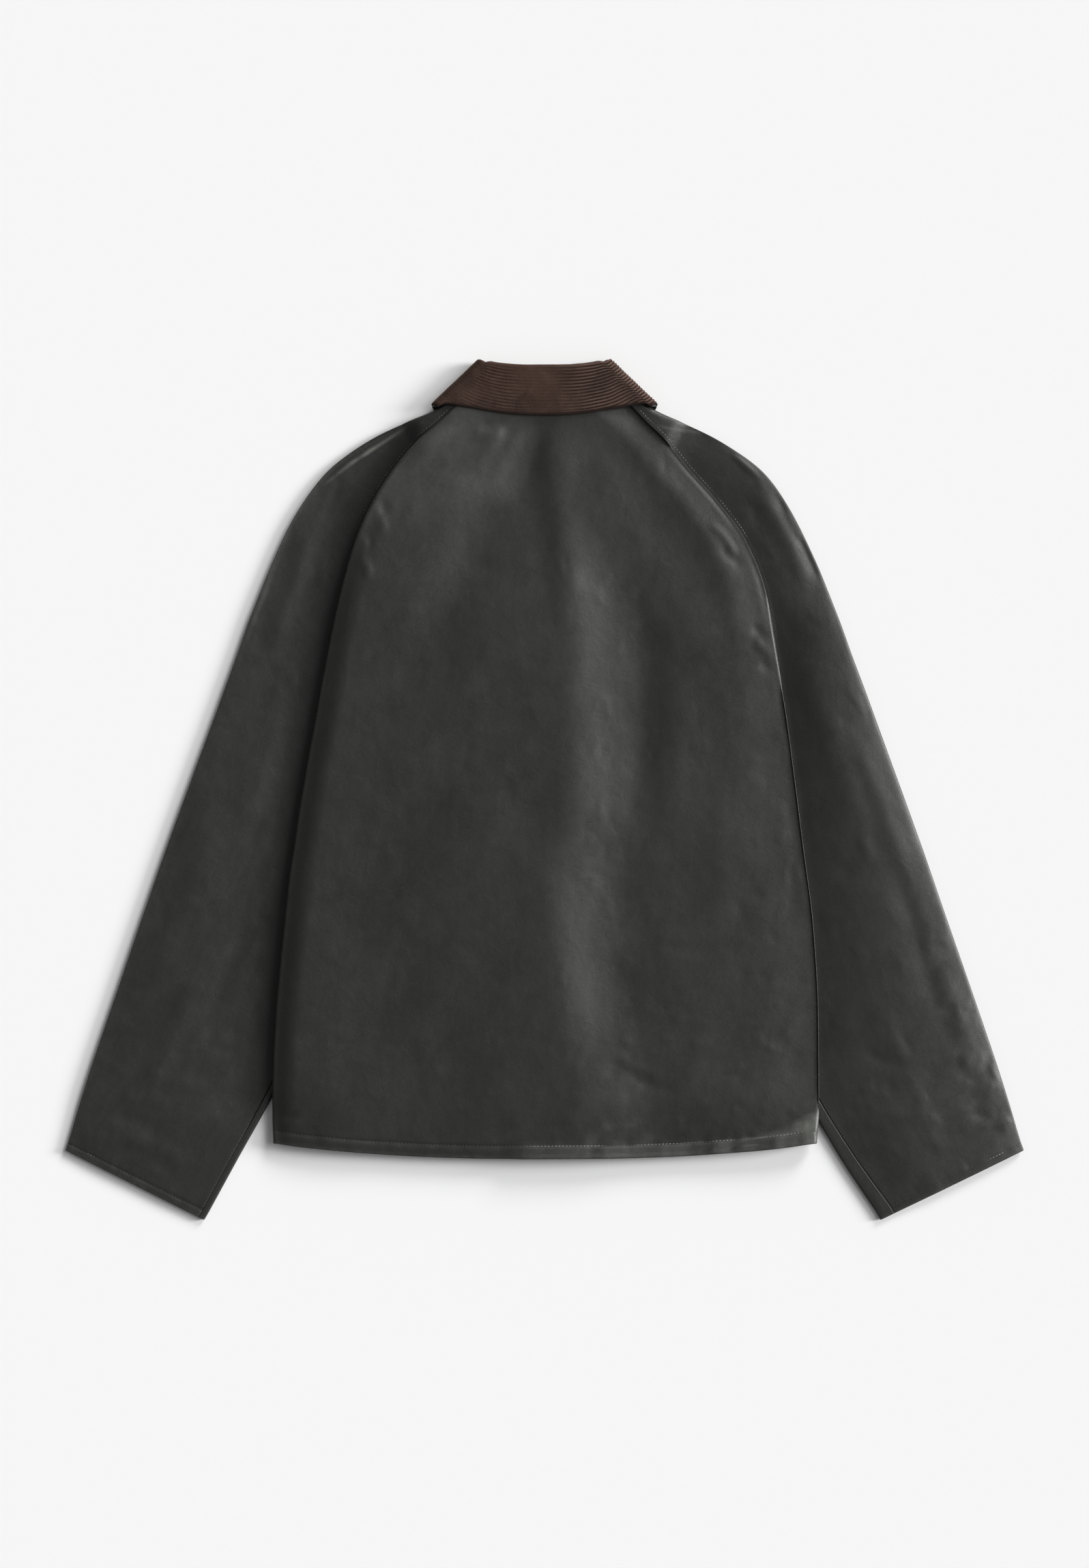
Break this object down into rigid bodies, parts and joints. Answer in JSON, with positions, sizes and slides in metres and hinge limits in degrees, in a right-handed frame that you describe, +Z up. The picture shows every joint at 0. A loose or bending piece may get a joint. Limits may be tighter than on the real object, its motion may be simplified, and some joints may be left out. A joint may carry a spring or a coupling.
{
  "type": "waxed cotton jacket",
  "caption": "Boxy waxed cotton jacket with raglan sleeves and a corduroy collar, laid flat and face down with the sleeves tucked under the body.",
  "frame": {"origin": "bottom centre of the object's box, on the surface it lies on", "axes": "+Z up, out of the jacket's back; +Y towards the collar; +X towards the wearer's right arm"},
  "size_m": [0.8828, 0.7932, 0.016],
  "materials": {
    "waxed_cotton": "waxed cotton, dark olive charcoal, soft oily sheen, paler where it is creased or rubbed",
    "corduroy": "dark brown cotton corduroy, wales along the collar, matt pile",
    "under_collar": "plain dark green-black cotton twill, matt"
  },
  "bodies": {
    "root": {"back_panel": "waxed_cotton", "front_left": "waxed_cotton", "front_right": "waxed_cotton", "sleeve_left_back": "waxed_cotton", "sleeve_left_front": "waxed_cotton", "sleeve_right_back": "waxed_cotton", "sleeve_right_front": "waxed_cotton", "collar_top": "corduroy", "collar_under": "under_collar"}
  },
  "joints": []
}
